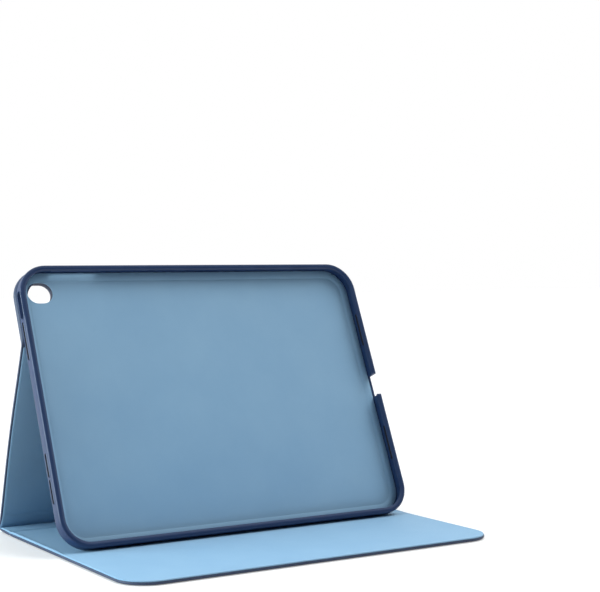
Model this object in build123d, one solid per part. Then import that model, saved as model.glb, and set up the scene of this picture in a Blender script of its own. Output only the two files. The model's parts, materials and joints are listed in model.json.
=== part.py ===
from build123d import *
import math
import os

# Folio stand case for a 10.9 inch class tablet, modelled open in its stand position.
# Frame: X along the folds, Y from the front edge towards the spine, Z up.
# Origin: centre of the front cover's underside, on the table. Millimetres and degrees.

# The tablet that the tray holds
TABLET_LENGTH = 248.6
TABLET_WIDTH = 179.5
TABLET_THICKNESS = 7.0
TABLET_CORNER_R = 17.5
TABLET_CLEARANCE = 0.1

# Laminate of every stiff cover panel: skin, board and lining
SKIN = 0.7
BOARD = 1.3
LINING = 0.6
PANEL = SKIN + BOARD + LINING
TURNED_EDGE = 1.0
LINING_PROUD = 0.3
SKIN_EDGE_R = 0.5

# Cover panels along the chain of folds
CASE_LENGTH = 253.6
COVER_DEPTH = 176.5
SPINE_FOLD_GAP = 3.0
SPINE_PITCH = 18.0
LEG_FOLD_GAP = 6.0
LEG_PITCH = 128.5
STAND_FOLD_GAP = 4.0
BACK_REACH = 50.1
FREE_CORNER_R = 20.0

# Magnets in the cover and the tongue, as length and width, with places from the cover's front edge
LATCH_MAGNET = (24.0, 10.0)
LATCH_MAGNET_Y = 27.0
STAND_MAGNET = (30.0, 10.0)
STAND_MAGNET_LEAD = 2.0
WAKE_MAGNET = (5.0, 20.0)
WAKE_MAGNET_Y = 60.0
WAKE_MAGNET_INSET = 12.0
TONGUE_MAGNET_R = 5.5
MAGNET_PITCH = 36.0
POCKET_SLACK = 0.05

# Steel plates in the tray's foot
PLATE_LENGTH = 34.0
PLATE_HEIGHT = 4.4
PLATE_DEPTH = 0.8
PLATE_PITCH = 44.0

# Stand position: direction of each panel above the table
SPINE_ANGLE = 2.0
TRAY_ANGLE = 66.0
FOOT_CLEARANCE = 0.05

# Tray
FOLD_TO_FOOT = 134.0
ADHESIVE = 0.4
ADHESIVE_LOW_MARGIN = 4.0
ADHESIVE_HIGH_MARGIN = 6.0
ADHESIVE_SIDE_MARGIN = 8.0
SHELL = 1.0
TRAY_LINING = 0.3
TRAY_LINING_INSET = 2.0
WALL = 1.8
WALL_CUT_DEPTH = 7.2
LIP = 1.0
LIP_OVERLAP = 1.7
TAPER_INSET = 1.2
TAPER_HEIGHT = 5.0
RIM_TOP_R = 0.9
LEDGE_WIDTH = 6.0
SLOT_WIDTH = 1.8

# Openings in the tray's walls: offsets are from the middle of a short wall, upwards in the stand
SOUND_SLOTS = ((-1, 41.5, 24.0), (-1, -39.0, 15.0), (-1, -54.8, 14.5), (1, 38.0, 24.0), (1, -38.0, 24.0))
POWER_OFFSET = 63.6
POWER_LENGTH = 17.0
POWER_WIDTH = 5.0
PORT_LENGTH = 15.0
VOLUME_X = -84.0
VOLUME_LENGTH = 34.0

# Magnetic flap
FLAP_LENGTH = 139.0
FLAP_SOFT = 1.6
FLAP_LINING_INSET = 1.0
ANCHOR_DEPTH = 12.0
ANCHOR_THICKNESS = 0.6
TONGUE_THICKNESS = 2.4
TONGUE_CORNER_R = 11.0
FLAP_STAND_OFF = 7.5
FLAP_HINGE_OUT = 1.5
FLAP_HINGE_BEHIND = 1.0
STRIP_PITCH = 17.3
WING_PITCH = 19.0
TONGUE_REACH = 22.0
FLAP_GAP = 3.0
TONGUE_GAP = 1.5

# Derived sizes
CAVITY_LENGTH = TABLET_LENGTH + 2 * TABLET_CLEARANCE
CAVITY_WIDTH = TABLET_WIDTH + 2 * TABLET_CLEARANCE
CAVITY_R = TABLET_CORNER_R + TABLET_CLEARANCE
TRAY_LENGTH = CAVITY_LENGTH + 2 * WALL
TRAY_WIDTH = CAVITY_WIDTH + 2 * WALL
TRAY_FLOOR = SHELL + TRAY_LINING
LIP_HEIGHT = TRAY_FLOOR + TABLET_THICKNESS + TABLET_CLEARANCE
TRAY_THICKNESS = LIP_HEIGHT + LIP
SLOT_HEIGHT = TRAY_FLOOR + TABLET_THICKNESS / 2
HALF_LENGTH = CASE_LENGTH / 2

# Camera opening, from the tray's centre line and its lower edge
CAMERA_X = -110.0
CAMERA_V = 167.3
CAMERA_LONG = 17.0
CAMERA_SHORT = 14.0
RING_WALL = 0.8
RING_FLANGE = 1.5
RING_PROUD = 0.5


def chain_plane(y, z, angle):
    """Plane whose local Y runs along a panel at this angle and whose local Z points to the lining side."""
    tilt = math.radians(angle)
    return Plane(origin=(0, y, z), x_dir=(1, 0, 0), z_dir=(0, -math.sin(tilt), math.cos(tilt)))


def along(point, angle, distance, rise=0.0):
    """Point reached from another by a distance along the panel and a rise towards the lining side."""
    tilt = math.radians(angle)
    y = point[0] + distance * math.cos(tilt) - rise * math.sin(tilt)
    z = point[1] + distance * math.sin(tilt) + rise * math.cos(tilt)
    return y, z


def leg_angle(fold_b, fold_c_height):
    """Direction of the leg that lifts the stand fold to the height the tray needs."""
    return 180 - math.degrees(math.asin((fold_c_height - fold_b[1]) / LEG_PITCH))


# Fold axes at rest, in the Y-Z section, each at mid-thickness of the panels it joins
TILT = math.radians(TRAY_ANGLE)
FOLD_A = (COVER_DEPTH / 2 + SPINE_FOLD_GAP / 2, PANEL / 2)
FOLD_B = along(FOLD_A, SPINE_ANGLE, SPINE_PITCH)
FOLD_C_HEIGHT = (
    PANEL
    + FOOT_CLEARANCE
    + (FOLD_TO_FOOT - TAPER_INSET) * math.sin(TILT)
    - (PANEL / 2 + ADHESIVE) * math.cos(TILT)
)
LEG_ANGLE = leg_angle(FOLD_B, FOLD_C_HEIGHT)
FOLD_C = along(FOLD_B, LEG_ANGLE, LEG_PITCH)
TRAY_FOOT = along(FOLD_C, TRAY_ANGLE, -FOLD_TO_FOOT, PANEL / 2 + ADHESIVE)
FLAP_ANGLE = TRAY_ANGLE - 180 + FLAP_STAND_OFF
FOLD_R = along(
    FOLD_C, TRAY_ANGLE, BACK_REACH + FLAP_HINGE_OUT, -PANEL / 2 - FLAP_HINGE_BEHIND
)
FOLD_W = along(FOLD_R, FLAP_ANGLE, STRIP_PITCH)
FOLD_T = along(FOLD_W, FLAP_ANGLE, WING_PITCH)


def panel_plane(fold, angle, thickness=PANEL):
    """Plane on a panel's outer face, below the fold axis where the panel starts."""
    return chain_plane(*along(fold, angle, 0, -thickness / 2), angle)


COVER_PLANE = chain_plane(-COVER_DEPTH / 2, 0, 0)
SPINE_PLANE = panel_plane(FOLD_A, SPINE_ANGLE)
LEG_PLANE = panel_plane(FOLD_B, LEG_ANGLE)
BACK_PLANE = panel_plane(FOLD_C, TRAY_ANGLE)
TRAY_PLANE = chain_plane(*TRAY_FOOT, TRAY_ANGLE)
STRIP_PLANE = panel_plane(FOLD_R, FLAP_ANGLE, FLAP_SOFT)
WING_PLANE = panel_plane(FOLD_W, FLAP_ANGLE, FLAP_SOFT)
TONGUE_PLANE = panel_plane(FOLD_T, FLAP_ANGLE, TONGUE_THICKNESS)


def outline(low, high, half, inset=0.0, corner_r=0.0, free=None):
    """Panel outline between two depths. Its sides and its free end are inset, and only the free end is rounded."""
    low = low + (inset if free == "low" else 0)
    high = high - (inset if free == "high" else 0)
    plate = Pos(0, (low + high) / 2) * Rectangle(2 * (half - inset), high - low)
    if free is None:
        return plate
    ends = plate.vertices().sort_by(Axis.Y)
    corners = ends[:2] if free == "low" else ends[-2:]
    return fillet(corners, corner_r - inset)


def layer(face, bottom, top):
    """Sheet of material between two heights above a panel's outer face."""
    return Pos(0, 0, bottom) * extrude(face, top - bottom)


def laminate(low, high, half, corner_r=0.0, free=None, board=BOARD, pockets=()):
    """Skin with turned edges, stiff board and inset lining of one panel, in the panel's own frame."""
    top = SKIN + board + LINING
    whole = layer(outline(low, high, half, 0, corner_r, free), 0, top - LINING_PROUD)
    crease_end = {"low": [high], "high": [low], None: [low, high]}[free]
    lower_edges = [
        edge
        for edge in whole.edges().group_by(Axis.Z)[0]
        if all(abs(edge.center().Y - end) > SKIN_EDGE_R for end in crease_end)
    ]
    whole = fillet(lower_edges, SKIN_EDGE_R)
    core = layer(outline(low, high, half, SKIN, corner_r, free), SKIN, SKIN + board)
    lining = layer(outline(low, high, half, TURNED_EDGE, corner_r, free), SKIN + board, top)
    skin = whole - core - lining
    return skin, cut(core, pockets), lining


def cut(shape, tools):
    """Shape with every solid of every tool taken out of it."""
    for tool in tools:
        for solid in tool.solids():
            shape = shape - solid
    return shape


def blocks(places, length, width, bottom, top, slack=0.0):
    """Rectangular blocks of one size, centred on the given places and smaller by the slack on every side."""
    size = (length - 2 * slack, width - 2 * slack, top - bottom - 2 * slack)
    middle = (bottom + top) / 2
    return Compound(children=[Pos(x, y, middle) * Box(*size) for x, y in places])


def discs(places, radius, bottom, top, slack=0.0):
    """Round blocks of one size, centred on the given places and smaller by the slack on every side."""
    size = (radius - slack, top - bottom - 2 * slack)
    middle = (bottom + top) / 2
    return Compound(children=[Pos(x, y, middle) * Cylinder(*size) for x, y in places])


def row(count, pitch, y):
    """Places spaced evenly along X, centred on the middle of the case."""
    return [((i - (count - 1) / 2) * pitch, y) for i in range(count)]


def front_cover():
    """Cover panel that lies on the table, with its latch, stand and wake magnets."""
    stand_y = TRAY_FOOT[0] + COVER_DEPTH / 2 - STAND_MAGNET_LEAD
    wake_place = (HALF_LENGTH - WAKE_MAGNET_INSET, WAKE_MAGNET_Y)
    sizes = {
        "cover_latch_magnets": (row(3, MAGNET_PITCH, LATCH_MAGNET_Y), *LATCH_MAGNET),
        "cover_stand_magnets": (row(5, PLATE_PITCH, stand_y), *STAND_MAGNET),
        "wake_magnet": ([wake_place], *WAKE_MAGNET),
    }
    pockets = [blocks(*size, SKIN, SKIN + BOARD) for size in sizes.values()]
    magnets = {
        node: blocks(*size, SKIN, SKIN + BOARD, POCKET_SLACK) for node, size in sizes.items()
    }
    skin, board, lining = laminate(
        0, COVER_DEPTH, HALF_LENGTH, FREE_CORNER_R, "low", pockets=pockets
    )
    return {"cover_skin": skin, "cover_board": board, "cover_lining": lining, **magnets}


def spine():
    """Narrow spine strip between the front cover and the leg."""
    skin, board, lining = laminate(
        SPINE_FOLD_GAP / 2, SPINE_PITCH - LEG_FOLD_GAP / 2, HALF_LENGTH
    )
    return {"spine_skin": skin, "spine_board": board, "spine_lining": lining}


def leg():
    """Lower rear panel, which leans forwards and holds the tray up."""
    skin, board, lining = laminate(
        LEG_FOLD_GAP / 2, LEG_PITCH - STAND_FOLD_GAP / 2, HALF_LENGTH
    )
    return {"leg_skin": skin, "leg_board": board, "leg_lining": lining}


def camera_slot(extra=0.0):
    """Rounded camera opening, in the back panel's frame."""
    y = CAMERA_V - FOLD_TO_FOOT
    slot = SlotOverall(CAMERA_LONG + 2 * extra, CAMERA_SHORT + 2 * extra)
    return Pos(CAMERA_X, y) * slot


def camera_ring():
    """Moulded ring that lines the camera opening and stands a little proud of the skin."""
    sleeve = layer(camera_slot(RING_WALL), 0, PANEL)
    flange = layer(camera_slot(RING_FLANGE), -RING_PROUD, 0)
    return sleeve + flange - layer(camera_slot(), -RING_PROUD, PANEL)


def back_panel():
    """Upper rear panel, glued to the tray, with the camera opening and the flap's anchor."""
    low = STAND_FOLD_GAP / 2
    skin, board, lining = laminate(low, BACK_REACH, HALF_LENGTH, FREE_CORNER_R, "high")
    opening = layer(camera_slot(RING_WALL), -RING_PROUD, PANEL + ADHESIVE)
    anchor = Pos(0, BACK_REACH - SKIN, SKIN) * Box(
        FLAP_LENGTH, ANCHOR_DEPTH, ANCHOR_THICKNESS, align=(Align.CENTER, Align.MAX, Align.MIN)
    )
    pad = outline(
        low + ADHESIVE_LOW_MARGIN,
        BACK_REACH - ADHESIVE_HIGH_MARGIN,
        HALF_LENGTH - ADHESIVE_SIDE_MARGIN,
        corner_r=FREE_CORNER_R - ADHESIVE_HIGH_MARGIN,
        free="high",
    )
    return {
        "back_skin": skin - opening,
        "back_board": board - opening - anchor,
        "back_lining": lining - opening,
        "flap_anchor": anchor,
        "camera_ring": camera_ring(),
        "tray_adhesive": layer(pad, PANEL, PANEL + ADHESIVE) - opening,
    }


def tray_outline(inset=0.0):
    """Rounded outline of the tray, measured inwards from the tablet cavity's wall."""
    length = CAVITY_LENGTH - 2 * inset
    width = CAVITY_WIDTH - 2 * inset
    return Pos(0, TRAY_WIDTH / 2) * RectangleRounded(length, width, CAVITY_R - inset)


def tray_camera():
    """Camera opening through the tray's shell and lining, in the tray's frame."""
    slot = SlotOverall(CAMERA_LONG, CAMERA_SHORT)
    return layer(Pos(CAMERA_X, CAMERA_V) * slot, 0, TRAY_FLOOR)


def tray_shell():
    """Hard back plate, stepped to sit on the rim's ledge."""
    lower = layer(tray_outline(LEDGE_WIDTH), 0, SHELL / 2)
    upper = layer(tray_outline(), SHELL / 2, SHELL)
    return lower + upper - tray_camera()


def tray_lining():
    """Soft sheet on the tray's floor that the tablet lies on."""
    return layer(tray_outline(TRAY_LINING_INSET), SHELL, TRAY_FLOOR) - tray_camera()


def side_slot(side, offset, length, width=SLOT_WIDTH):
    """Slot cut across one short wall of the tray, centred at this offset from the tray's middle."""
    face = Plane(
        origin=(side * TRAY_LENGTH / 2, TRAY_WIDTH / 2 + offset, SLOT_HEIGHT),
        x_dir=(0, 1, 0),
        z_dir=(1, 0, 0),
    )
    return extrude(face * SlotOverall(length, width), WALL_CUT_DEPTH, both=True)


def foot_plates(slack):
    """Thin steel plates in the tray's lower wall, which the cover's stand magnets hold."""
    places = row(5, PLATE_PITCH, WALL - PLATE_DEPTH / 2)
    bottom = SLOT_HEIGHT - PLATE_HEIGHT / 2
    return blocks(places, PLATE_LENGTH, PLATE_DEPTH, bottom, bottom + PLATE_HEIGHT, slack)


def tray_rim():
    """Soft rim that grips the tablet: tapered wall, inner lip, ledge, sound slots and button openings."""
    back_edge = tray_outline(TAPER_INSET - WALL)
    full = Pos(0, 0, TAPER_HEIGHT) * tray_outline(-WALL)
    taper = loft([back_edge, full], ruled=True)
    wall = layer(tray_outline(-WALL), TAPER_HEIGHT, TRAY_THICKNESS)
    wall = fillet(wall.edges().group_by(Axis.Z)[-1], RIM_TOP_R)
    rim = taper + wall
    hollow = [
        layer(tray_outline(LEDGE_WIDTH), 0, SHELL / 2),
        layer(tray_outline(), SHELL / 2, LIP_HEIGHT),
        layer(tray_outline(LIP_OVERLAP), LIP_HEIGHT, TRAY_THICKNESS),
    ]
    power = side_slot(-1, POWER_OFFSET, POWER_LENGTH, POWER_WIDTH)
    sound = [side_slot(side, offset, length) for side, offset, length in SOUND_SLOTS]
    port = Pos(TRAY_LENGTH / 2, TRAY_WIDTH / 2, TRAY_FLOOR) * Box(
        WALL_CUT_DEPTH, PORT_LENGTH, TRAY_THICKNESS, align=(Align.CENTER, Align.CENTER, Align.MIN)
    )
    volume_face = Plane(
        origin=(VOLUME_X, TRAY_WIDTH, SLOT_HEIGHT), x_dir=(1, 0, 0), z_dir=(0, 1, 0)
    )
    volume_slot = volume_face * SlotOverall(VOLUME_LENGTH, POWER_WIDTH)
    volume = extrude(volume_slot, WALL_CUT_DEPTH, both=True)
    return cut(rim, [*hollow, *sound, power, port, volume, foot_plates(0)])


def tray():
    """Tray that holds the tablet."""
    return {
        "tray_shell": tray_shell(),
        "tray_lining": tray_lining(),
        "tray_rim": tray_rim(),
        "tray_foot_plates": foot_plates(POCKET_SLACK),
    }


def soft_link(low, high):
    """Soft piece of the flap without a board: skin below, lining above."""
    half = FLAP_LENGTH / 2
    split = FLAP_SOFT - LINING
    skin = layer(outline(low, high, half), 0, split)
    lining = layer(outline(low, high, half - FLAP_LINING_INSET), split, FLAP_SOFT)
    return skin, lining


def flap_strip():
    """Side strip that wraps round the tray's upper edge."""
    skin, lining = soft_link(FLAP_GAP / 2, STRIP_PITCH - FLAP_GAP / 2)
    return {"strip_skin": skin, "strip_lining": lining}


def flap_wing():
    """Soft wing of the flap that lies on the front cover when the case is shut."""
    skin, lining = soft_link(FLAP_GAP / 2, WING_PITCH - TONGUE_GAP / 2)
    return {"wing_skin": skin, "wing_lining": lining}


def flap_tongue():
    """Stiff tongue with the magnets that hold the case shut."""
    board = TONGUE_THICKNESS - SKIN - LINING
    size = (row(3, MAGNET_PITCH, TONGUE_REACH / 2), TONGUE_MAGNET_R, SKIN, SKIN + board)
    skin, core, lining = laminate(
        TONGUE_GAP / 2,
        TONGUE_REACH,
        FLAP_LENGTH / 2,
        TONGUE_CORNER_R,
        "high",
        board,
        [discs(*size)],
    )
    return {
        "tongue_skin": skin,
        "tongue_board": core,
        "tongue_lining": lining,
        "tongue_magnets": discs(*size, POCKET_SLACK),
    }


GROUPS = (
    (COVER_PLANE, front_cover),
    (SPINE_PLANE, spine),
    (LEG_PLANE, leg),
    (BACK_PLANE, back_panel),
    (TRAY_PLANE, tray),
    (STRIP_PLANE, flap_strip),
    (WING_PLANE, flap_wing),
    (TONGUE_PLANE, flap_tongue),
)

os.makedirs("parts", exist_ok=True)
for plane, build in GROUPS:
    for node, shape in build().items():
        export_step(plane.location * shape, f"parts/{node}.step")
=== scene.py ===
"""Looks of the tablet folio stand case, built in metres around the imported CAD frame."""

import json
import math
from bisect import bisect_right

import bmesh
import bpy
from mathutils import Matrix, Vector
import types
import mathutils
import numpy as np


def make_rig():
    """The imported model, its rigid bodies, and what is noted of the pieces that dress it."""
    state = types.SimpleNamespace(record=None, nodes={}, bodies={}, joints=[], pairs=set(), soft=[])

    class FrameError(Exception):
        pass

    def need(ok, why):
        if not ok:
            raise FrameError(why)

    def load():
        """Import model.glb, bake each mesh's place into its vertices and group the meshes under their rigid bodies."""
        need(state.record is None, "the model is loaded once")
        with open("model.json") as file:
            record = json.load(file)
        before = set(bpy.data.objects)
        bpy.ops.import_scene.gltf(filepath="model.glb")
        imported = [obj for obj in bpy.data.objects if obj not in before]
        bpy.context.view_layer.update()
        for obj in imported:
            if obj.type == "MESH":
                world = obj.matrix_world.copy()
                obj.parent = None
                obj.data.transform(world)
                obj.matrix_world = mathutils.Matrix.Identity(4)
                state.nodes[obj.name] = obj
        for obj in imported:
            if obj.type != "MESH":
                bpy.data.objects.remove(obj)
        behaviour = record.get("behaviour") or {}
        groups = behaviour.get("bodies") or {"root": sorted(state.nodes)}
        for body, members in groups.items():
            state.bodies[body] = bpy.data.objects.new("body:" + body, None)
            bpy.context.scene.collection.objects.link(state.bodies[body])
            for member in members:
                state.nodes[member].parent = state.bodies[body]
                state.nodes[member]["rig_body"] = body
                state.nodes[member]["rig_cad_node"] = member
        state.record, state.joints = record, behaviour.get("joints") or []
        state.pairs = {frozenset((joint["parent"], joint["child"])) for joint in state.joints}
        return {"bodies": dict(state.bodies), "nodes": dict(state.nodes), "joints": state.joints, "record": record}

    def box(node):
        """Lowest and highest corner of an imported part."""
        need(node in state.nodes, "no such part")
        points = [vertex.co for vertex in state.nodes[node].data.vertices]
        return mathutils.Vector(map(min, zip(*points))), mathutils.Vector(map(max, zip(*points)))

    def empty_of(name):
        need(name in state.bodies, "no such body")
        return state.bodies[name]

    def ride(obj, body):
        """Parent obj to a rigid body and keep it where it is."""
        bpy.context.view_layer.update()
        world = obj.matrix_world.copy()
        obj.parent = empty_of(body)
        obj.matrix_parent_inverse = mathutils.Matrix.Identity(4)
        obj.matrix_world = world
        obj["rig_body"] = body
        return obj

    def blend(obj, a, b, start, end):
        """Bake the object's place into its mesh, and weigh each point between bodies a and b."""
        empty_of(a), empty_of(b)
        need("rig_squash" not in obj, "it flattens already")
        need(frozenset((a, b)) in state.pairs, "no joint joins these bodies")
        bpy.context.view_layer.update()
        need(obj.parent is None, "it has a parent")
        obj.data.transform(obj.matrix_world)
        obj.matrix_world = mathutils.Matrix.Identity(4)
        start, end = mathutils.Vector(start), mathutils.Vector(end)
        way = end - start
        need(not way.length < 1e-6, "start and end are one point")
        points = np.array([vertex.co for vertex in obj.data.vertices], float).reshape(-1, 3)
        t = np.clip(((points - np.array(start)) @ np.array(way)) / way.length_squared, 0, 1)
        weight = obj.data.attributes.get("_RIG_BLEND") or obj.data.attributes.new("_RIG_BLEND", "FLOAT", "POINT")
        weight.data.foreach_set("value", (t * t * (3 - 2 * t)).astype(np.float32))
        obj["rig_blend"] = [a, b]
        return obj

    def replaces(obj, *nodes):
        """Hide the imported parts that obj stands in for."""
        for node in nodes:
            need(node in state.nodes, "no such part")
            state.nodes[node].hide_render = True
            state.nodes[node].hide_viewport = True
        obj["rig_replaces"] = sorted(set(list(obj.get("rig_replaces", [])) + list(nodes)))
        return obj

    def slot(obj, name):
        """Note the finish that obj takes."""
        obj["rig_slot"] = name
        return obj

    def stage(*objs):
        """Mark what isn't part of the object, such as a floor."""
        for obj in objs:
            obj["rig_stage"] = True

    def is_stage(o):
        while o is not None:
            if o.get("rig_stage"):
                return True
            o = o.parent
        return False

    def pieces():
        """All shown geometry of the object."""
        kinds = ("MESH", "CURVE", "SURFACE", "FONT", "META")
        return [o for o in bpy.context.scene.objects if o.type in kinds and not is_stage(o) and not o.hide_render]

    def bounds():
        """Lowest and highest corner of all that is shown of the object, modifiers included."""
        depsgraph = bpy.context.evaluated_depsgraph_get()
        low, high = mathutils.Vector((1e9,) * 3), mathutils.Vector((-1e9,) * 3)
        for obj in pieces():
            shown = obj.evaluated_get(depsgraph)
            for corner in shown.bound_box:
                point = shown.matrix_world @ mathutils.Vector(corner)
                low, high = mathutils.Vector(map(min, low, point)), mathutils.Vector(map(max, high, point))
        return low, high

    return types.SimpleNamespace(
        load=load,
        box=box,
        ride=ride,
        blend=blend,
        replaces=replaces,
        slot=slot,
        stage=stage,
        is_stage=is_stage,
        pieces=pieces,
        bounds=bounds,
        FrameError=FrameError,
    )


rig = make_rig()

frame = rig.load()
cad_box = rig.bounds()

MM = 0.001

# ---------------------------------------------------------------- sizes, in metres

# Cover
SKIN = 0.7 * MM
LINING = 0.6 * MM
TURN_IN = 5.0 * MM  # width of the skin's turned-in edge
CORNER_R = 20.0 * MM
LEG_BEND = 1.6 * MM  # tangent length of the fold between the spine and the leg
LEG_BOW = 1.9 * MM
CREASE_RISE = 10.0 * MM  # pressed line on the leg, above its fold
CREASE_PRESS = 0.24  # part of the thickness that this line takes away

# How the layers' edges change along the cover
FOOT_SWELL = 0.45 * MM  # the lining's edge rises beside the tray's foot
LEG_DROP = 0.22 * MM  # it lies lower on the leg
LEG_TUCK = 0.6 * MM  # and draws in there
BACK_TUCK = 2.4 * MM  # it draws in further behind the tray
LEG_LIP_RISE = 0.35 * MM  # the skin's lip stands up on the leg

# Tray, with heights from its back face
RIM_WALL = 1.8 * MM
RIM_CORNER_R = 19.4 * MM
LIP_WIDTH = 3.8 * MM
LIP_UNDERSIDE = 8.4 * MM
LEDGE = 7.8 * MM
FLOOR_LOW = 1.0 * MM
FLOOR_TOP = 1.3 * MM
SLOT_HEIGHT = 4.8 * MM
CAMERA_HALF_X, CAMERA_HALF_V = 8.5 * MM, 7.0 * MM
RING_WALL = 1.5 * MM

# Openings in the tray's walls, in mm: the side (-1 left, 1 right, 0 top), the centre's distance along
# the wall, its height above the slots' line, and half of the length and of the width
SOUND_SLOTS = (
    (-1, 42.2, 0.0, 12.3, 0.9),
    (-1, -38.0, 0.0, 7.3, 0.9),
    (-1, -54.5, 0.0, 7.4, 0.9),
    (1, 42.0, 0.0, 12.0, 0.9),
    (1, -42.0, 0.0, 12.0, 0.9),
)
BUTTON_OPENINGS = (
    (-1, 65.6, 1.1, 9.2, 2.4),
    (0, -84.0, 0.0, 17.0, 2.3),
)
SLOT_DEPTH = 4.0 * MM
SLOT_FLARE = 0.1 * MM
PORT_HALF = 7.5 * MM

# Flap
TONGUE_R = 11.0 * MM

# How finely the meshes are divided
FACE_COLUMNS = 24
CORNER_STEPS = 12
RIM_CORNER_STEPS = 14
SMOOTH_ANGLE = math.radians(40)

# ---------------------------------------------------------------- where things are

JOINTS = {j["name"]: Vector(j["pos_m"]) for j in frame["joints"]}
FOLD_A, FOLD_B, FOLD_C = (JOINTS[n] for n in ("spine_fold", "leg_fold", "stand_fold"))
FOLD_R, FOLD_W, FOLD_T = (JOINTS[n] for n in ("flap_fold", "wing_fold", "tongue_crease"))
BAY = next(m for m in frame["record"]["mounts"] if m["name"] == "tablet_bay")
COVER_LOW, COVER_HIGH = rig.box("cover_skin")
HALF = COVER_HIGH.x
PANEL = 2 * FOLD_A.z


def angle_of(vector):
    """Direction of a vector in the Y-Z section, from +Y towards +Z."""
    return math.atan2(vector.z, vector.y)


def ahead(angle):
    """Unit vector along a panel that points in this direction."""
    return Vector((0, math.cos(angle), math.sin(angle)))


def inward(angle):
    """Unit vector from a panel's outer face to its lining side."""
    return Vector((0, -math.sin(angle), math.cos(angle)))


def reach(node, origin, direction):
    """How far a CAD node extends either way from a point along a direction."""
    spans = [(v.co - origin).dot(direction) for v in frame["nodes"][node].data.vertices]
    return min(spans), max(spans)


SPINE_DIR = angle_of(FOLD_B - FOLD_A)
LEG_DIR = angle_of(FOLD_C - FOLD_B)
TRAY_DIR = angle_of(Vector(BAY["axis"])) - math.pi / 2
FLAP_DIR = angle_of(FOLD_W - FOLD_R)
SPINE_SPAN = reach("spine_skin", FOLD_A, ahead(SPINE_DIR))
LEG_SPAN = reach("leg_skin", FOLD_B, ahead(LEG_DIR))
BACK_SPAN = reach("back_skin", FOLD_C, ahead(TRAY_DIR))
STRIP_SPAN = reach("strip_skin", FOLD_R, ahead(FLAP_DIR))
WING_SPAN = reach("wing_skin", FOLD_W, ahead(FLAP_DIR))
TONGUE_SPAN = reach("tongue_skin", FOLD_T, ahead(FLAP_DIR))
RIM_V = reach("tray_rim", FOLD_C, ahead(TRAY_DIR))
RIM_W = reach("tray_rim", FOLD_C, inward(TRAY_DIR))
RIM_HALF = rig.box("tray_rim")[1].x
TRAY_FOOT_Y = (FOLD_C + ahead(TRAY_DIR) * RIM_V[0]).y
FLAP_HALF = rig.box("wing_skin")[1].x


# ---------------------------------------------------------------- section curves


class Section:
    """A curve in the Y-Z plane that a sheet follows, built from lines and arcs and read by distance."""

    def __init__(self, start, angle):
        self.points = [start.copy()]
        self.angles = [angle]
        self.distance = [0.0]
        self.extra = []

    def add(self, point, angle):
        step = (point - self.points[-1]).length
        self.points.append(point)
        self.angles.append(angle)
        self.distance.append(self.distance[-1] + step)

    def line_to(self, end, steps, bow=0.0):
        """A straight run to a point, which may bow to the outer side and stays tangent at both ends."""
        start, angle = self.points[-1], angle_of(end - self.points[-1])
        length = (end - start).length
        for i in range(1, steps + 1):
            t = i / steps
            lift = bow * 16 * (t * (1 - t)) ** 2
            slope = bow * 32 * t * (1 - t) * (1 - 2 * t) / length
            point = start.lerp(end, t) - inward(angle) * lift
            self.add(point, angle - slope)

    def turn_to(self, end, angle, steps):
        """An arc to a point, leaving in the last direction and arriving in the given one."""
        start, first = self.points[-1], self.angles[-1]
        turn = angle - first
        radius = (end - start).length / (2 * math.sin(turn / 2))
        centre = start + inward(first) * radius
        for i in range(1, steps + 1):
            now = first + turn * i / steps
            self.add(centre - inward(now) * radius, now)

    def at(self, distance):
        """Point and inward direction at a distance along the curve."""
        distance = min(max(distance, 0.0), self.distance[-1])
        i = min(max(bisect_right(self.distance, distance) - 1, 0), len(self.distance) - 2)
        t = (distance - self.distance[i]) / (self.distance[i + 1] - self.distance[i])
        angle = self.angles[i] + (self.angles[i + 1] - self.angles[i]) * t
        return self.points[i].lerp(self.points[i + 1], t), inward(angle)

    def stations(self, low, high):
        """The curve's own distances between two limits, with the limits themselves."""
        margin, closest = 0.2 * MM, 0.1 * MM
        kept = [low]
        for d in sorted(self.distance + self.extra):
            if low + margin < d < high - margin and d - kept[-1] > closest:
                kept.append(d)
        return [*kept, high]


class Backwards:
    """A section read from its far end, so that a sheet can start at its free end there."""

    def __init__(self, section):
        self.section = section
        self.length = section.distance[-1]

    def at(self, distance):
        return self.section.at(self.length - distance)

    def stations(self, low, high):
        inner = self.section.stations(self.length - high, self.length - low)
        return [self.length - d for d in reversed(inner)]


def on_panel(fold, angle, distance):
    """Point in the middle of a panel's thickness, at a distance from its fold axis."""
    return fold + ahead(angle) * distance


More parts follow.
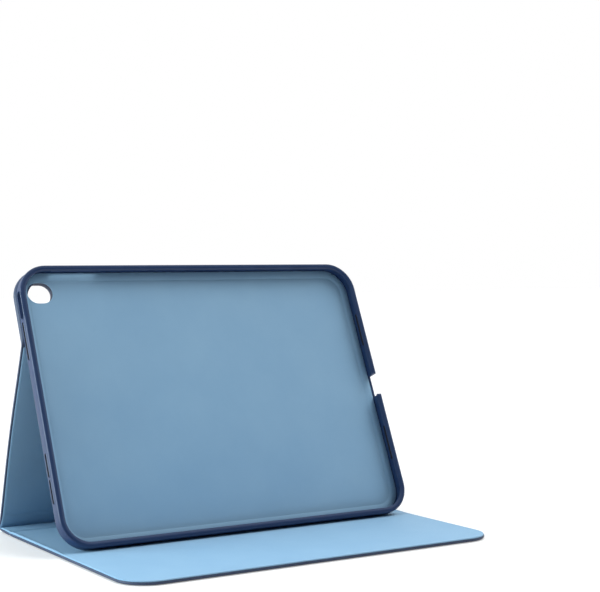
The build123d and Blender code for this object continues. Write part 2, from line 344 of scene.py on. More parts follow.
def cover_section():
    """Middle of the whole cover, from the front edge to the back panel's upper edge, and its marks."""
    marks = {"foot": TRAY_FOOT_Y - COVER_LOW.y}
    mid = PANEL / 2
    curve = Section(Vector((0, COVER_LOW.y, mid)), 0.0)
    curve.line_to(Vector((0, COVER_HIGH.y, mid)), 24)
    marks["fold_a"] = curve.distance[-1]
    curve.turn_to(on_panel(FOLD_A, SPINE_DIR, SPINE_SPAN[0]), SPINE_DIR, 6)
    marks["spine"] = curve.distance[-1]
    curve.line_to(on_panel(FOLD_B, SPINE_DIR, -LEG_BEND), 4)
    marks["fold_b"] = curve.distance[-1]
    curve.turn_to(on_panel(FOLD_B, LEG_DIR, LEG_BEND), LEG_DIR, 24)
    marks["leg"] = curve.distance[-1]
    curve.line_to(on_panel(FOLD_B, LEG_DIR, LEG_SPAN[1]), 40, LEG_BOW)
    marks["fold_c"] = curve.distance[-1]
    curve.turn_to(on_panel(FOLD_C, TRAY_DIR, BACK_SPAN[0]), TRAY_DIR, 12)
    marks["back"] = curve.distance[-1]
    curve.line_to(on_panel(FOLD_C, TRAY_DIR, BACK_SPAN[1]), 10)
    marks["end"] = curve.distance[-1]
    marks["mid_spine"] = (marks["spine"] + marks["fold_b"]) / 2
    marks["mid_leg"] = (marks["leg"] + marks["fold_c"]) / 2
    marks["crease"] = marks["leg"] + CREASE_RISE - LEG_BEND
    curve.extra += [marks["fold_b"] - i * 0.5 * MM for i in range(1, 11)]
    curve.extra += [marks["leg"] + i * 0.5 * MM for i in range(1, 11)]
    for centre in (marks["fold_a"] + 1.5 * MM, marks["crease"], marks["fold_c"] + 1.5 * MM):
        curve.extra += [centre + i * 0.4 * MM for i in range(-8, 9)]
    return curve, marks


def smooth(value, low, high):
    """0 below low, 1 above high, and an easy curve between them."""
    t = min(max((value - low) / (high - low), 0.0), 1.0)
    return t * t * (3 - 2 * t)


def bell(offset, width):
    """1 at the centre, fading away to both sides."""
    return math.exp(-((offset / width) ** 2))


def cover_shape(marks, kind):
    """Shape of one layer of the cover: pressed at its folds, swollen beside the foot, tucked in above."""
    # Where each fold is pressed, over what width, and how much of the thickness goes
    folds = (
        (marks["fold_a"] + 1.5 * MM, 1.4 * MM, 0.42),
        ((marks["fold_b"] + marks["leg"]) / 2, 2.4 * MM, 0.5),
        (marks["fold_c"] + 2.0 * MM, 1.8 * MM, 0.36),
    )
    foot = marks["foot"]

    def along(s):
        """How far a distance belongs to the stretch beside the foot, to the leg and behind the tray."""
        behind_tray = smooth(s, marks["fold_c"], marks["fold_c"] + 7 * MM)
        on_leg = smooth(s, marks["fold_b"], marks["leg"] + 8 * MM) * (1 - behind_tray)
        past_fold_a = smooth(s, marks["fold_a"], marks["fold_a"] + 9 * MM)
        beside_foot = smooth(s, foot - 6 * MM, foot + 6 * MM) * (1 - past_fold_a)
        return beside_foot, on_leg, behind_tray

    def shape(s, inset, height):
        press = sum(depth * bell(s - at, width) for at, width, depth in folds)
        press += CREASE_PRESS * bell(s - marks["crease"], 1.1 * MM) * smooth(inset, 1.6 * MM, 3.6 * MM)
        height *= 1.0 - press
        beside_foot, on_leg, behind_tray = along(s)
        if kind == "lining":
            if height > PANEL / 2 - LINING:
                height += FOOT_SWELL * beside_foot * bell(inset - 1.3 * MM, 1.2 * MM)
                height -= LEG_DROP * on_leg * (1 - smooth(inset, 0.8 * MM, 2.4 * MM))
            inset += BACK_TUCK * behind_tray + LEG_TUCK * on_leg
        if kind == "skin" and inset < 1.6 * MM and height > 0.1 * MM:
            wrap = 0.5 * MM + 1.6 * min(inset, 1.0 * MM)
            height += wrap * behind_tray + LEG_LIP_RISE * on_leg
        return inset, height

    return shape


# ---------------------------------------------------------------- mesh building


def make_object(name, bm, material):
    """Object from bmesh data, with smooth shading up to an angle."""
    bmesh.ops.remove_doubles(bm, verts=bm.verts, dist=1e-7)
    bmesh.ops.recalc_face_normals(bm, faces=bm.faces)
    mesh = bpy.data.meshes.new(name)
    bm.to_mesh(mesh)
    bm.free()
    mesh.shade_smooth()
    mesh.set_sharp_from_angle(angle=SMOOTH_ANGLE)
    obj = bpy.data.objects.new(name, mesh)
    bpy.context.scene.collection.objects.link(obj)
    mesh.materials.append(material)
    return obj


def sheet_outline(half, radius, inset, stations):
    """Outline of a sheet at an inset, as (x, distance) pairs: up the left side and down the right one.

    With a radius it goes on round the sheet's free end in between.
    """
    side = half - inset
    left = [(-side, s) for s in reversed(stations)]
    right = [(side, s) for s in stations]
    if not radius:
        return left + right
    r = radius - inset
    centre = half - radius
    arc = [
        (-centre - r * math.cos(a), radius - r * math.sin(a))
        for a in (math.pi / 2 * i / CORNER_STEPS for i in range(1, CORNER_STEPS + 1))
    ]
    end = [(-centre + 2 * centre * i / FACE_COLUMNS, inset) for i in range(1, FACE_COLUMNS)]
    mirrored = [(-x, s) for x, s in reversed(arc)]
    return left + arc + end + mirrored + right


def bridge(bm, a, b):
    """Quads between two rows of vertices of the same length."""
    for i in range(len(a) - 1):
        bm.faces.new((a[i], a[i + 1], b[i + 1], b[i]))


def sheet(name, section, low, high, half, profile, material, shape, radius=0.0):
    """Closed sheet along a section.

    The profile is (inset, height) pairs from one face round the edge to the other. The shape function
    turns a distance, inset and height into the inset and height wanted there. With a radius the sheet's
    end at distance 0 is free and rounded, and its other end is cut square. Without one, both are square.
    """
    stations = section.stations(max(low, radius), high)
    count = len(stations)
    bm = bmesh.new()

    def vertex(x, s, inset, height):
        point, normal = section.at(s)
        wanted_inset, wanted_height = shape(s, inset, height)
        point = point + normal * wanted_height
        return bm.verts.new((x - math.copysign(wanted_inset - inset, x), point.y, point.z))

    loops = []
    for inset, height in profile:
        outline = sheet_outline(half, radius, inset, stations)
        loops.append([vertex(x, s, inset, height) for x, s in outline])
    for a, b in zip(loops, loops[1:]):
        if radius:
            bridge(bm, a, b)
        else:
            bridge(bm, a[:count], b[:count])
            bridge(bm, a[count:], b[count:])

    faces = [sheet_face(bm, loop, count, bool(radius)) for loop in (loops[0], loops[-1])]
    cuts = [(-1, 0, len(loops[0]) - 1)]
    if not radius:
        cuts.append((0, count - 1, count))
    for row, left, right in cuts:
        ring = [loop[left] for loop in loops]
        ring += faces[1][row][1:-1]
        ring += [loop[right] for loop in reversed(loops)]
        ring += faces[0][row][-2:0:-1]
        bm.faces.new(ring)
    return make_object(name, bm, material)


def sheet_face(bm, loop, count, rounded):
    """One face of a sheet, in rows straight across from the left side to the right. Returns the rows."""
    rows = []
    for i in range(count):
        left, right = loop[count - 1 - i], loop[len(loop) - count + i]
        y, z = left.co.y, left.co.z
        spread = (left.co.x * (1 - 2 * k / FACE_COLUMNS) for k in range(1, FACE_COLUMNS))
        rows.append([left, *(bm.verts.new((x, y, z)) for x in spread), right])
    for a, b in zip(rows, rows[1:]):
        bridge(bm, a, b)
    if rounded:
        end = loop[count - 1 : len(loop) - count + 1]
        bm.faces.new(end + rows[0][-2:0:-1])
    return rows


def rounded_outline(half_x, half_v, radius, inset, arc_steps):
    """Outline of a rounded rectangle at an inset, as (x, v) pairs."""
    r = max(radius - inset, 0.05 * MM)
    cx, cv = half_x - radius, half_v - radius
    outline = []
    for quadrant, (sx, sv) in enumerate(((1, 1), (-1, 1), (-1, -1), (1, -1))):
        for i in range(arc_steps + 1):
            a = math.pi / 2 * (quadrant + i / arc_steps)
            outline.append((sx * cx + r * math.cos(a), sv * cv + r * math.sin(a)))
    return outline


def divided(outline, longest, steps):
    """The same closed outline, with its sides longer than a limit divided into steps."""
    dense = []
    for (x0, v0), (x1, v1) in zip(outline, outline[1:] + outline[:1]):
        parts = steps if math.hypot(x1 - x0, v1 - v0) > longest else 1
        dense += [(x0 + (x1 - x0) * k / parts, v0 + (v1 - v0) * k / parts) for k in range(parts)]
    return dense


def bands(bm, loops):
    """Quads between closed loops of vertices of the same length, each loop to the next."""
    for a, b in zip(loops, loops[1:]):
        bridge(bm, [*a, a[0]], [*b, b[0]])


def rounded_ring(name, place, half_x, half_v, radius, profile, material):
    """Closed frame round a rounded rectangle. The profile is a closed list of (inset, height) pairs."""
    bm = bmesh.new()
    loops = []
    for inset, height in profile:
        outline = rounded_outline(half_x, half_v, radius, inset, RIM_CORNER_STEPS)
        outline = divided(outline, 0.3 * half_v, 16)
        loops.append([bm.verts.new(place(x, v, height)) for x, v in outline])
    bands(bm, [*loops, loops[0]])
    return make_object(name, bm, material)


def rounded_plate(name, place, half_x, half_v, radius, profile, material, arc_steps=RIM_CORNER_STEPS):
    """Closed rounded plate. The profile is (inset, height) pairs from one face to the other."""
    bm = bmesh.new()
    loops = []
    for inset, height in profile:
        outline = rounded_outline(half_x, half_v, radius, inset, arc_steps)
        loops.append([bm.verts.new(place(x, v, height)) for x, v in outline])
    bands(bm, loops)
    bm.faces.new(loops[0])
    bm.faces.new(loops[-1])
    return make_object(name, bm, material)


def carve(obj, cutter, operation="DIFFERENCE", material=None):
    """Takes a cutter's volume out of a piece, or adds it. The new faces may get their own material."""
    cutter.data.materials[0] = material or obj.data.materials[0]
    modifier = obj.modifiers.new("carve", "BOOLEAN")
    modifier.operation = operation
    modifier.solver = "EXACT"
    modifier.material_mode = "TRANSFER"
    modifier.object = cutter
    bpy.context.view_layer.update()
    evaluated = obj.evaluated_get(bpy.context.evaluated_depsgraph_get())
    mesh = bpy.data.meshes.new_from_object(evaluated)
    obj.modifiers.clear()
    obj.data = mesh
    mesh.set_sharp_from_angle(angle=SMOOTH_ANGLE)
    bpy.data.objects.remove(cutter)


# ---------------------------------------------------------------- materials


class Nodes:
    """Small helper to write a material's node tree in a few readable lines."""

    def __init__(self, name):
        self.material = bpy.data.materials.new(name)
        self.material.use_nodes = True
        self.tree = self.material.node_tree
        self.tree.nodes.clear()
        out = self.add("ShaderNodeOutputMaterial")
        self.shader = self.add("ShaderNodeBsdfPrincipled")
        self.link(self.shader.outputs[0], out.inputs["Surface"])
        self.where = self.add("ShaderNodeNewGeometry").outputs["Position"]

    def add(self, kind, **inputs):
        node = self.tree.nodes.new(kind)
        for key, value in inputs.items():
            key = key.replace("_", " ")
            if hasattr(value, "links"):
                self.link(value, node.inputs[key])
            else:
                node.inputs[key].default_value = value
        return node

    def link(self, source, target):
        self.tree.links.new(source, target)

    def noise(self, scale, detail=3.0, roughness=0.5):
        node = self.add("ShaderNodeTexNoise", Scale=scale, Detail=detail, Roughness=roughness)
        self.link(self.where, node.inputs["Vector"])
        return node.outputs["Fac"]

    def cells(self, scale):
        node = self.add("ShaderNodeTexVoronoi", Scale=scale)
        self.link(self.where, node.inputs["Vector"])
        return node.outputs["Distance"]

    def ramp(self, source, low, high, to_low=0.0, to_high=1.0):
        node = self.add("ShaderNodeMapRange")
        self.link(source, node.inputs["Value"])
        node.inputs["From Min"].default_value = low
        node.inputs["From Max"].default_value = high
        node.inputs["To Min"].default_value = to_low
        node.inputs["To Max"].default_value = to_high
        return node.outputs["Result"]

    def math(self, operation, a, b):
        node = self.tree.nodes.new("ShaderNodeMath")
        node.operation = operation
        for slot, value in enumerate((a, b)):
            if hasattr(value, "links"):
                self.link(value, node.inputs[slot])
            else:
                node.inputs[slot].default_value = value
        return node.outputs[0]

    def mix(self, factor, a, b):
        node = self.tree.nodes.new("ShaderNodeMix")
        node.data_type = "RGBA"
        if hasattr(factor, "links"):
            self.link(factor, node.inputs["Factor"])
        else:
            node.inputs["Factor"].default_value = factor
        for slot, value in ((6, a), (7, b)):
            if hasattr(value, "links"):
                self.link(value, node.inputs[slot])
            else:
                node.inputs[slot].default_value = (*value, 1.0)
        return node.outputs[2]

    def bump(self, height, strength, distance, previous=None):
        node = self.add("ShaderNodeBump", Strength=strength, Distance=distance)
        self.link(height, node.inputs["Height"])
        if previous is not None:
            self.link(previous, node.inputs["Normal"])
        return node.outputs["Normal"]

    def set(self, **inputs):
        for key, value in inputs.items():
            target = self.shader.inputs[key.replace("_", " ")]
            if hasattr(value, "links"):
                self.link(value, target)
            else:
                target.default_value = value
        return self.material


def srgb(red, green, blue):
    """Linear colour from display values of 0 to 255."""

    def linear(value):
        value = value / 255
        return value / 12.92 if value <= 0.04045 else ((value + 0.055) / 1.055) ** 2.4

    return linear(red), linear(green), linear(blue)


def leather(name, colour, darker, lighter):
    """Fine-grained coated leather: pebbled grain, faint clouding, satin sheen."""
    n = Nodes(name)
    cloud = n.noise(18, 3)
    pebble = n.cells(1500)
    pores = n.noise(4200, 2)
    base = n.mix(n.ramp(cloud, 0.35, 0.7), darker, colour)
    base = n.mix(n.ramp(pebble, 0.25, 0.75, 0.0, 0.22), base, lighter)
    rough = n.math("ADD", n.ramp(cloud, 0.3, 0.7, 0.44, 0.52), n.ramp(pores, 0.3, 0.7, -0.03, 0.05))
    grain = n.bump(pebble, 0.25, 0.06 * MM)
    grain = n.bump(pores, 0.12, 0.03 * MM, grain)
    return n.set(Base_Color=base, Roughness=rough, Normal=grain, Coat_Weight=0.06, Coat_Roughness=0.45)


def microfibre(name, colour, darker, lighter):
    """Short-nap suede lining: fine fibres, brushed patches and a soft sheen."""
    n = Nodes(name)
    patches = n.noise(26, 4, 0.6)
    fibres = n.noise(5200, 3, 0.7)
    nap = n.noise(900, 3, 0.6)
    base = n.mix(n.ramp(patches, 0.32, 0.68), darker, colour)
    base = n.mix(n.ramp(fibres, 0.35, 0.7, 0.0, 0.35), base, lighter)
    height = n.math("ADD", fibres, n.math("MULTIPLY", nap, 0.6))
    bumps = n.bump(height, 0.35, 0.08 * MM)
    return n.set(
        Base_Color=base,
        Roughness=0.66,
        Normal=bumps,
        Sheen_Weight=0.25,
        Sheen_Roughness=0.45,
        Sheen_Tint=(*lighter, 1.0),
        Specular_IOR_Level=0.4,
    )


def moulded(name, colour, lighter, roughness, texture):
    """Moulded plastic or rubber: fine spark texture, faint handling marks, satin surface."""
    n = Nodes(name)
    marks = n.noise(35, 4, 0.6)
    spark = n.noise(texture, 2, 0.6)
    base = n.mix(n.ramp(marks, 0.3, 0.75, 0.0, 0.5), colour, lighter)
    worn = n.ramp(marks, 0.3, 0.7, roughness - 0.04, roughness + 0.06)
    rough = n.math("ADD", worn, n.ramp(spark, 0.3, 0.7, -0.03, 0.03))
    return n.set(Base_Color=base, Roughness=rough, Normal=n.bump(spark, 0.15, 0.03 * MM))


def board_material():
    """Grey pressed board: mottled fibres."""
    n = Nodes("pressed_board")
    fibres = n.noise(700, 5, 0.7)
    base = n.mix(n.ramp(fibres, 0.3, 0.7), srgb(120, 114, 104), srgb(150, 145, 134))
    return n.set(Base_Color=base, Roughness=0.9, Normal=n.bump(fibres, 0.4, 0.1 * MM))


def metal_material(name, colour):
    """Plated metal with fine drawn lines."""
    n = Nodes(name)
    lines = n.noise(1800, 2, 0.5)
    rough = n.ramp(lines, 0.3, 0.7, 0.25, 0.42)
    drawn = n.bump(lines, 0.1, 0.02 * MM)
    return n.set(Base_Color=(*colour, 1.0), Metallic=1.0, Roughness=rough, Normal=drawn)


def tape_material():
    """Double-sided tape: milky film with a paper fibre."""
    n = Nodes("tape")
    fibres = n.noise(500, 4, 0.6)
    base = n.mix(fibres, srgb(196, 196, 190), srgb(226, 226, 222))
    return n.set(Base_Color=base, Roughness=0.6, Normal=n.bump(fibres, 0.2, 0.05 * MM))


NAVY = leather("navy_leather", srgb(54, 68, 97), srgb(48, 62, 90), srgb(68, 84, 115))
SUEDE = microfibre("blue_microfibre", srgb(141, 181, 212), srgb(134, 175, 208), srgb(158, 194, 220))
RUBBER = moulded("rim_rubber", srgb(32, 54, 92), srgb(40, 64, 104), 0.36, 2600)
# Near-black rubber for the sound slots' inner walls: painted shade for their dark inside. The real walls are the same
# rubber as the rim.
PAINTED_SLOT_SHADE = moulded("rim_painted_slot_shade", srgb(6, 12, 30), srgb(10, 18, 38), 0.7, 2600)
PLASTIC = moulded("shell_plastic", srgb(40, 48, 76), srgb(50, 58, 88), 0.5, 1500)
BOARD = board_material()
MAGNET = metal_material("magnet_nickel", srgb(176, 176, 182))
STEEL = metal_material("keeper_steel", srgb(142, 144, 150))
TAPE = tape_material()


# ---------------------------------------------------------------- cover panels


def quarter(inset, height, radius, start):
    """Quarter of a round edge as (inset, height) pairs, turning from this angle in degrees."""
    steps = (math.radians(start + 90 * i / 6) for i in range(7))
    return [(inset - radius * math.cos(a), height + radius * math.sin(a)) for a in steps]


def in_mm(pairs, base=0.0):
    """(inset, height) pairs turned from millimetres to metres, with the heights above a base."""
    return [(inset * MM, base + height * MM) for inset, height in pairs]


def skin_profile(deep):
    """Skin section: outer face, pressed border, rounded edge, turned-in lip, and back under the board."""
    low, high = -PANEL / 2, PANEL / 2
    lip_top, lip_under = high - 0.62 * MM, high - 0.88 * MM
    border = in_mm(((3.0, 0.0), (2.5, 0.05), (2.1, 0.16), (1.3, 0.16)), low)
    bottom = quarter(0.8 * MM, low + 0.96 * MM, 0.8 * MM, -90)
    shoulder = quarter(0.3 * MM, high - 1.1 * MM, 0.3 * MM, 0)
    lip = [(1.15 * MM, high - 0.8 * MM), (1.55 * MM, lip_top), (TURN_IN, lip_top), (TURN_IN, lip_under)]
    inside = [(SKIN, lip_under), (SKIN, low + SKIN), (deep, low + SKIN)]
    return [(deep, low), *border, *bottom, *shoulder, *lip, *inside]


def lining_profile(deep):
    """Lining section: under side, rounded side, raised bead, pressed line and the nap's face."""
    top = PANEL / 2
    side = ((1.6, -0.6), (1.2, -0.78), (0.6, -0.78), (0.42, -0.68), (0.38, -0.45), (0.5, -0.18))
    bead = ((0.8, 0.02), (1.2, 0.07), (1.7, 0.03), (2.2, -0.08), (2.8, -0.04), (3.6, 0.0))
    return [(deep, top - LINING), *in_mm(side + bead, top), (deep, top)]


def board_profile(deep):
    """Board section between the skin and the lining."""
    low, high = -PANEL / 2 + SKIN, PANEL / 2 - LINING
    under_lip = high - 0.3 * MM
    step = [(SKIN, under_lip), (TURN_IN, under_lip), (TURN_IN, high)]
    return [(deep, low), (SKIN, low), *step, (deep, high)]


def build_cover():
    """Skin, lining and boards. Skin and lining run through, cut at the middle of the spine and the leg."""
    curve, marks = cover_section()
    back = Backwards(curve)
    deep = 9.0 * MM
    shapes = {kind: cover_shape(marks, kind) for kind in ("skin", "lining", "board")}

    def from_back(kind):
        return lambda s, inset, height: shapes[kind](marks["end"] - s, inset, height)

    first = (0.0, marks["mid_spine"])
    second = (marks["mid_spine"], marks["mid_leg"])
    third = (0.0, marks["end"] - marks["mid_leg"])
    fold_a = ("front_cover", "spine", marks["fold_a"], marks["spine"])
    fold_b = ("spine", "leg", marks["fold_b"], marks["leg"])
    fold_c = ("leg", "tray", marks["fold_c"], marks["back"])
    layers = (
        ("skin", skin_profile(deep), NAVY, "outer_leather"),
        ("lining", lining_profile(deep), SUEDE, "microfibre"),
    )
    for kind, profile, material, slot in layers:
        look = (HALF, profile, material)
        front = sheet(f"front_cover_{kind}", curve, *first, *look, shapes[kind], CORNER_R)
        middle = sheet(f"spine_and_leg_{kind}", curve, *second, *look, shapes[kind])
        upper = sheet(f"leg_and_back_{kind}", back, *third, *look, from_back(kind), CORNER_R)
        carve(upper, camera_cutter(0.8 * MM))
        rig.replaces(front, f"cover_{kind}", f"spine_{kind}")
        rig.replaces(upper, f"leg_{kind}", f"back_{kind}")
        for piece, (a, b, start, end) in ((front, fold_a), (middle, fold_b), (upper, fold_c)):
            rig.blend(piece, a, b, start=tuple(curve.at(start)[0]), end=tuple(curve.at(end)[0]))
            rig.slot(piece, slot)

    board = board_profile(deep)
    boards = (
        ("cover_stiffener", 0.0, marks["fold_a"], "front_cover", "cover_board", CORNER_R),
        ("spine_stiffener", marks["spine"], marks["fold_b"], "spine", "spine_board", 0.0),
        ("leg_stiffener", marks["crease"] + 2 * MM, marks["fold_c"] - MM, "leg", "leg_board", 0.0),
    )
    for name, low, high, body, node, radius in boards:
        piece = sheet(name, curve, low, high, HALF, board, BOARD, shapes["board"], radius)
        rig.ride(piece, body)
        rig.slot(piece, "stiffener_board")
        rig.replaces(piece, node)


# ---------------------------------------------------------------- tray


TRAY_ORIGIN = FOLD_C + ahead(TRAY_DIR) * (RIM_V[0] + RIM_V[1]) / 2 + inward(TRAY_DIR) * RIM_W[0]
TRAY_HALF_V = (RIM_V[1] - RIM_V[0]) / 2
TRAY_TOP = RIM_W[1] - RIM_W[0]
CAMERA_X = sum(c.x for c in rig.box("camera_ring")) / 2
CAMERA_V = sum(reach("camera_ring", TRAY_ORIGIN, ahead(TRAY_DIR))) / 2


def in_tray(x, v, w):
    """Point in the tray's own frame: along the folds, up the tray, and out of its back face."""
    return TRAY_ORIGIN + Vector((x, 0, 0)) + ahead(TRAY_DIR) * v + inward(TRAY_DIR) * w


def at_camera(a, b, h):
    """Point from the middle of the camera opening: along the folds, up the tray, and out of it."""
    return in_tray(CAMERA_X + a, CAMERA_V + b, h)


def camera_cutter(extra):
    """Prism through the back panel and the tray's floor at the camera opening."""
    half_x, half_v = CAMERA_HALF_X + extra, CAMERA_HALF_V + extra
    profile = in_mm(((0, -8), (0, 4)))
    return rounded_plate("cutter", at_camera, half_x, half_v, half_v, profile, RUBBER, arc_steps=10)


def wall_opening(side, offset, rise, half_long, half_short):
    """Place and half sizes of an opening in the rim's wall, from its row in the table."""
    height = SLOT_HEIGHT + rise * MM

    def place(a, b, h):
        if side == 0:
            return in_tray(offset * MM + a, TRAY_HALF_V + h, height + b)
        return in_tray(side * (RIM_HALF + h), offset * MM + a, height + b)

    return place, half_long * MM, half_short * MM


def slot_cutter(place, half_long, half_short):
    """Rounded slot that flares at its mouth."""
    flare = SLOT_FLARE
    profile = [(0.0, -SLOT_DEPTH), (0.0, -flare), (-flare, 0.0), (-1.6 * flare, 0.6 * MM)]
    return rounded_plate("cutter", place, half_long, half_short, half_short, profile, RUBBER, arc_steps=6)


def slot_bead(place, half_long, half_short):
    """Fine raised bead round a slot's mouth, rooted in the wall."""
    wide, high = 0.7 * MM, 0.28 * MM
    side = [(0.0, -MM), (0.15 * wide, 0.0), (0.5 * wide, 0.7 * high), (wide, high), (2 * wide, high)]
    long, short = half_long + wide, half_short + wide
    return rounded_plate("bead", place, long, short, short, side, RUBBER, arc_steps=8)


def port_cutter():
    """Notch through the right wall and its lip for the charging plug."""

    def place(a, b, h):
        return in_tray(RIM_HALF + b, a, h)

    straight = [(0.0, FLOOR_TOP), (0.0, TRAY_TOP - 0.8 * MM)]
    mouth = [(-0.8 * MM, TRAY_TOP), (-1.4 * MM, TRAY_TOP + MM)]
    return rounded_plate(
        "cutter", place, PORT_HALF, 5 * MM, 0.8 * MM, straight + mouth, RUBBER, arc_steps=4
    )


def rim_profile():
    """Rim section: rounded lip, flat side wall, soft rear edge, ledge, and back along the inside."""
    lip = (
        (0.0, 0.95),
        (0.05, 0.84),
        (0.25, 0.66),
        (0.55, 0.46),
        (0.95, 0.25),
        (1.35, 0.1),
        (1.75, 0.02),
        (2.1, 0.0),
    )
    corner = ((1.2, -0.04), (0.8, -0.13), (0.48, -0.27), (0.22, -0.52), (0.06, -0.85), (0.0, -1.2))
    rear = ((0.06, 3.0), (0.22, 1.6), (0.42, 0.8), (0.62, 0.4), (0.9, 0.14), (1.3, 0.0))
    profile = [(LIP_WIDTH, LIP_UNDERSIDE)]
    profile += [(LIP_WIDTH - out * MM, TRAY_TOP - drop * MM) for out, drop in lip]
    profile += in_mm(corner, TRAY_TOP)
    profile += in_mm(rear)
    ledge = ((LEDGE, 0.0), (LEDGE, 0.5 * MM), (RIM_WALL, 0.5 * MM), (RIM_WALL, LIP_UNDERSIDE))
    return [*profile, *ledge]


def build_rim():
    """Soft rim with its lip, sound slots, button openings and charging port."""
    rim = rounded_ring(
        "tray_rim_moulding", in_tray, RIM_HALF, TRAY_HALF_V, RIM_CORNER_R, rim_profile(), RUBBER
    )
    # The sound slots' cut walls take the near-black painted-shade rubber; the button openings keep the rim's own
    # rubber.
    for openings, inside in ((SOUND_SLOTS, PAINTED_SLOT_SHADE), (BUTTON_OPENINGS, RUBBER)):
        for row in openings:
            opening = wall_opening(*row)
            carve(rim, slot_bead(*opening), "UNION")
            carve(rim, slot_cutter(*opening), material=inside)
    carve(rim, port_cutter())
    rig.ride(rim, "tray")
    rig.slot(rim, "tray_rubber")
    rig.replaces(rim, "tray_rim")


def build_tray_lining():
    """Soft sheet on the tray's floor, with a rounded edge and one pressed line inside it."""
    side = ((0.0, -0.1), (0.12, 0.0), (5.0, 0.0), (5.4, -0.12), (6.0, -0.12), (6.4, 0.0))
    profile = [(0.0, FLOOR_LOW), *in_mm(side, FLOOR_TOP)]
    inset = RIM_WALL + 0.4 * MM
    half_x, half_v, radius = RIM_HALF - inset, TRAY_HALF_V - inset, RIM_CORNER_R - inset
    lining = rounded_plate("tray_floor_lining", in_tray, half_x, half_v, radius, profile, SUEDE)
    carve(lining, camera_cutter(0.0))
    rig.ride(lining, "tray")
    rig.slot(lining, "microfibre")
    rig.replaces(lining, "tray_lining")


def build_camera_ring():
    """Moulded ring that lines the camera opening."""
    rim_back = reach("tray_rim", TRAY_ORIGIN, inward(TRAY_DIR))[0]
    back, front = rim_back - PANEL - 0.4 * MM, -0.4 * MM
    bead = ((0.25, 0.0), (0.0, -0.1), (0.05, -0.32), (0.3, -0.48), (0.8, -0.5), (1.2, -0.38))
    root = RING_WALL - 0.8 * MM
    wall = [(RING_WALL, back - 0.1 * MM), (RING_WALL, front), (root, front), (root, back)]
    half_x, half_v = CAMERA_HALF_X + RING_WALL, CAMERA_HALF_V + RING_WALL
    profile = in_mm(bead, back) + wall
    ring = rounded_ring("camera_ring_moulding", at_camera, half_x, half_v, half_v, profile, PLASTIC)
    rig.ride(ring, "tray")
    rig.slot(ring, "ring_plastic")
    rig.replaces(ring, "camera_ring")


# ---------------------------------------------------------------- magnetic flap


def flap_section():
    """Middle of the flap: out of the back panel's upper edge, round its soft root and down to the tip."""
    marks = {}
    curve = Section(on_panel(FOLD_C, TRAY_DIR, BACK_SPAN[1] - 3 * MM), TRAY_DIR)
    curve.line_to(on_panel(FOLD_C, TRAY_DIR, BACK_SPAN[1]), 2)
    marks["root"] = curve.distance[-1]
    curve.turn_to(on_panel(FOLD_R, FLAP_DIR, STRIP_SPAN[0]), FLAP_DIR, 20)
    marks["strip"] = curve.distance[-1]
    curve.line_to(on_panel(FOLD_R, FLAP_DIR, STRIP_SPAN[1]), 6)
    marks["strip_end"] = curve.distance[-1]
    curve.line_to(on_panel(FOLD_W, FLAP_DIR, WING_SPAN[0]), 8)
    marks["wing"] = curve.distance[-1]
    curve.line_to(on_panel(FOLD_W, FLAP_DIR, WING_SPAN[1]), 8)
    marks["wing_end"] = curve.distance[-1]
    curve.line_to(on_panel(FOLD_T, FLAP_DIR, TONGUE_SPAN[0]), 6)
    marks["tongue"] = curve.distance[-1]
    curve.line_to(on_panel(FOLD_T, FLAP_DIR, TONGUE_SPAN[1]), 10)
    marks["end"] = curve.distance[-1]
    marks["mid_strip"] = (marks["strip"] + marks["strip_end"]) / 2
    marks["mid_wing"] = (marks["wing"] + marks["wing_end"]) / 2
    return curve, marks


# Sections of the flap's skin and lining from the outer face round the edge, in mm
FLAP_SKIN = (
    (6.0, -0.8),
    (3.5, -0.8),
    (3.15, -0.7),
    (2.85, -0.7),
    (2.5, -0.8),
    (0.7, -0.76),
    (0.3, -0.62),
    (0.08, -0.36),
    (0.0, 0.0),
    (0.1, 0.32),
    (0.35, 0.5),
    (0.8, 0.55),
    (2.0, 0.5),
    (2.0, 0.2),
    (6.0, 0.2),
)
FLAP_LINING = ((6.0, 0.2), (1.25, 0.52), (1.3, 0.68), (1.6, 0.8), (2.2, 0.78), (6.0, 0.8))


def build_flap():
    """Flap skin and lining as continuous sheets, cut in the middle of the strip and of the wing."""
    curve, marks = flap_section()
    tip = Backwards(curve)
    length = marks["end"]
    tongue_start, wing_end = length - marks["tongue"], length - marks["wing_end"]

    def tongue_shape(s, inset, height):
        """Tongue half as thick again as the wing, easing across the crease, which is pressed in."""
        t = min(max((s - tongue_start) / (wing_end - tongue_start), 0.0), 1.0)
        return inset, height * (1.5 - 0.5 * t - 0.55 * math.sin(math.pi * t))

    def plain_shape(s, inset, height):
        return inset, height

    def at(distance):
        return tuple(curve.at(distance)[0])

    first = (0.0, marks["mid_strip"])
    second = (marks["mid_strip"], marks["mid_wing"])
    third = (0.0, length - marks["mid_wing"])
    root = ("tray", "flap_strip", marks["root"], marks["strip"])
    wing = ("flap_strip", "flap_wing", marks["strip_end"], marks["wing"])
    tongue = ("flap_wing", "flap_tongue", marks["wing_end"], marks["tongue"])
    layers = (
        ("skin", FLAP_SKIN, NAVY, "outer_leather"),
        ("lining", FLAP_LINING, SUEDE, "microfibre"),
    )
    for label, profile, material, slot in layers:
        look = (FLAP_HALF, in_mm(profile), material)
        base = sheet(f"flap_root_{label}", curve, *first, *look, plain_shape)
        middle = sheet(f"flap_middle_{label}", curve, *second, *look, plain_shape)
        end = sheet(f"flap_tip_{label}", tip, *third, *look, tongue_shape, TONGUE_R)
        parts = ((base, root, "strip"), (middle, wing, "wing"), (end, tongue, "tongue"))
        for piece, (a, b, low, high), node in parts:
            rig.blend(piece, a, b, start=at(low), end=at(high))
            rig.slot(piece, slot)
            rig.replaces(piece, f"{node}_{label}")


# ---------------------------------------------------------------- carried-over CAD nodes


